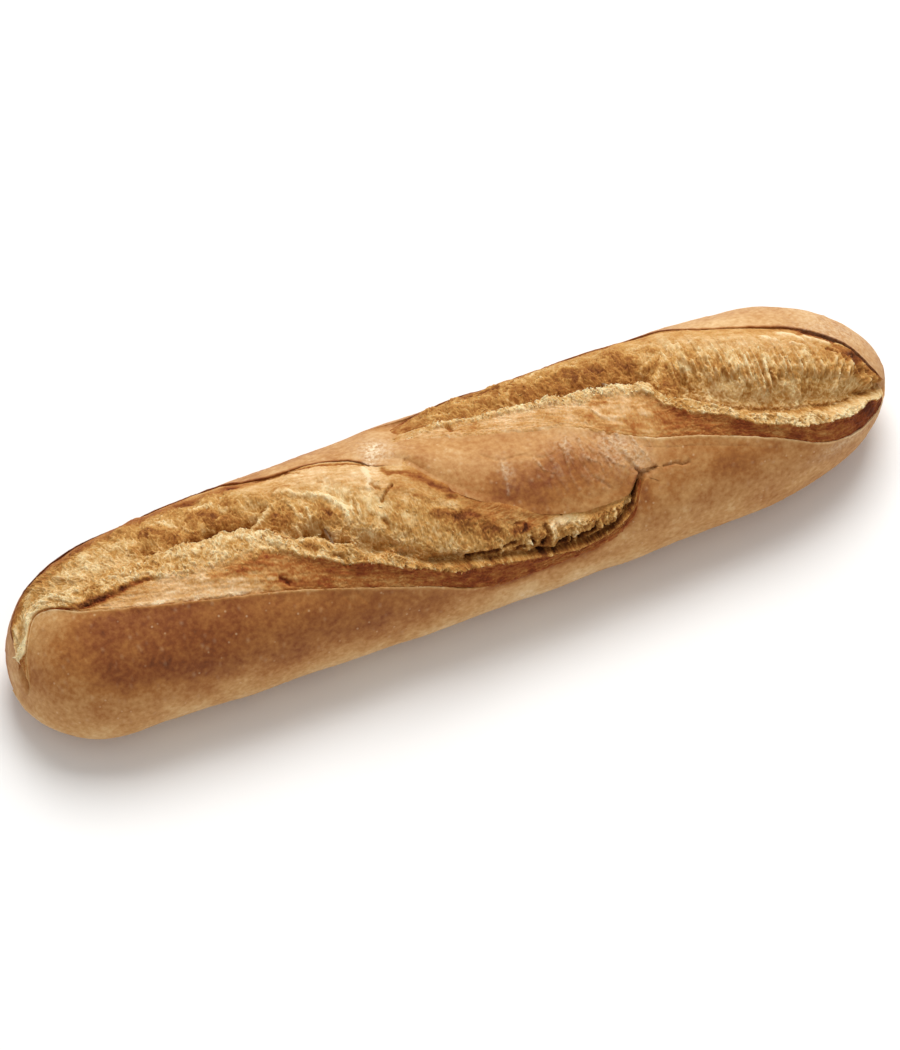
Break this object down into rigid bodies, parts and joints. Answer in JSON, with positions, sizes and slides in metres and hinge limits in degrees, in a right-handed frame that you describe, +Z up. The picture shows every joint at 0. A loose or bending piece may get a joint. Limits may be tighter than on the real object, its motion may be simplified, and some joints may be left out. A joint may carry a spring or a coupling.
{
  "type": "baguette",
  "caption": "Crusty half-length baguette with rounded ends, long overlapping diagonal slashes torn open on top, and a flat underside.",
  "frame": {"origin": "on the floor, under the middle of the loaf", "axes": "+X along the loaf, +Z up, and -Y towards the side whose slash reaches furthest down"},
  "size_m": [0.2704, 0.063, 0.049],
  "materials": {
    "crust": "dry browned bread crust, matt with a faint sheen, with paler rough crumb in the slashes"
  },
  "bodies": {
    "root": {"baguette": "crust"}
  },
  "joints": []
}
